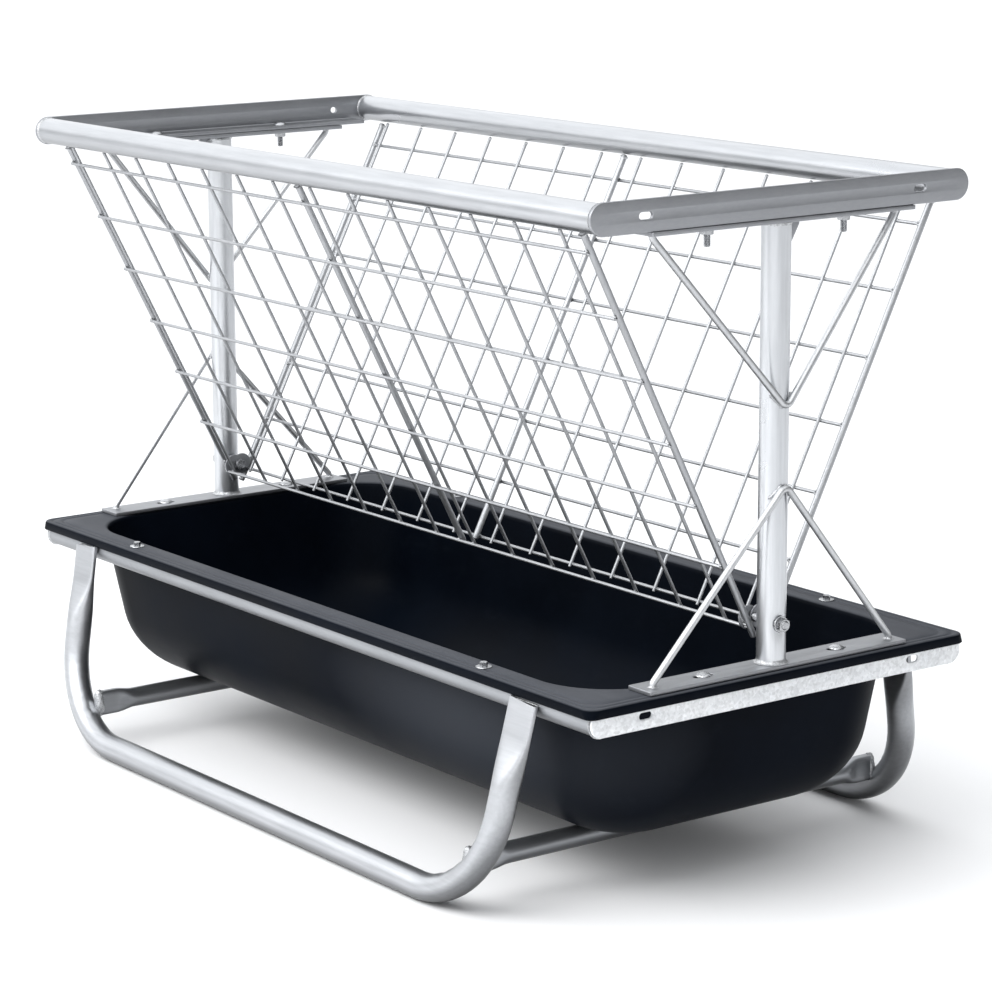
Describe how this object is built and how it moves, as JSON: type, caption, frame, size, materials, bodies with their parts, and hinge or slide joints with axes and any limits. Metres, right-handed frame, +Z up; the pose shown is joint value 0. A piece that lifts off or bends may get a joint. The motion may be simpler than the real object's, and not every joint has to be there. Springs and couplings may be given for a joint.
{
  "type": "hay rack feeder",
  "caption": "Hay rack feeder: a V-shaped galvanised wire basket on end posts above a black plastic trough, carried on tubular skids.",
  "frame": {"origin": "on the ground, under the middle of the trough", "axes": "+X along the trough towards the right end, +Y towards the back side, +Z up"},
  "size_m": [1.522, 0.862, 1.0283],
  "materials": {
    "galvanised_tube": "hot-dip galvanised, smooth grey with soft streaks",
    "galvanised_angle": "hot-dip galvanised, bright with fine spangle",
    "black_polyethylene": "satin moulded black polyethylene",
    "zinc_plated": "bright zinc-plated fasteners"
  },
  "bodies": {
    "root": {"trough_tub": "black_polyethylene", "rim_tube_front": "galvanised_tube", "leg_skid_front": "galvanised_tube", "top_rail_front": "galvanised_tube", "wire_grid_front": "galvanised_tube", "mid_rod_front": "galvanised_tube", "end_rod_front_left": "galvanised_tube", "end_rod_front_right": "galvanised_tube", "rim_tube_back": "galvanised_tube", "leg_skid_back": "galvanised_tube", "top_rail_back": "galvanised_tube", "wire_grid_back": "galvanised_tube", "mid_rod_back": "galvanised_tube", "end_rod_back_left": "galvanised_tube", "end_rod_back_right": "galvanised_tube", "base_angle_left": "galvanised_angle", "top_angle_left": "galvanised_tube", "end_plate_left": "galvanised_tube", "top_strap_left": "galvanised_tube", "post_left": "galvanised_tube", "post_gusset_left": "galvanised_tube", "lower_brace_left": "galvanised_tube", "upper_brace_left": "galvanised_tube", "cross_tube_left": "galvanised_tube", "foot_bolt_left": "zinc_plated", "foot_nut_left": "zinc_plated", "panel_ear_front_left": "galvanised_tube", "rim_bolt_front_left": "zinc_plated", "plate_bolt_front_left": "zinc_plated", "strap_bolt_front_left": "zinc_plated", "strap_nut_front_left": "zinc_plated", "panel_ear_back_left": "galvanised_tube", "rim_bolt_back_left": "zinc_plated", "plate_bolt_back_left": "zinc_plated", "strap_bolt_back_left": "zinc_plated", "strap_nut_back_left": "zinc_plated", "base_angle_right": "galvanised_angle", "top_angle_right": "galvanised_tube", "end_plate_right": "galvanised_tube", "top_strap_right": "galvanised_tube", "post_right": "galvanised_tube", "post_gusset_right": "galvanised_tube", "lower_brace_right": "galvanised_tube", "upper_brace_right": "galvanised_tube", "cross_tube_right": "galvanised_tube", "foot_bolt_right": "zinc_plated", "foot_nut_right": "zinc_plated", "panel_ear_front_right": "galvanised_tube", "rim_bolt_front_right": "zinc_plated", "plate_bolt_front_right": "zinc_plated", "strap_bolt_front_right": "zinc_plated", "strap_nut_front_right": "zinc_plated", "panel_ear_back_right": "galvanised_tube", "rim_bolt_back_right": "zinc_plated", "plate_bolt_back_right": "zinc_plated", "strap_bolt_back_right": "zinc_plated", "strap_nut_back_right": "zinc_plated"}
  },
  "joints": []
}
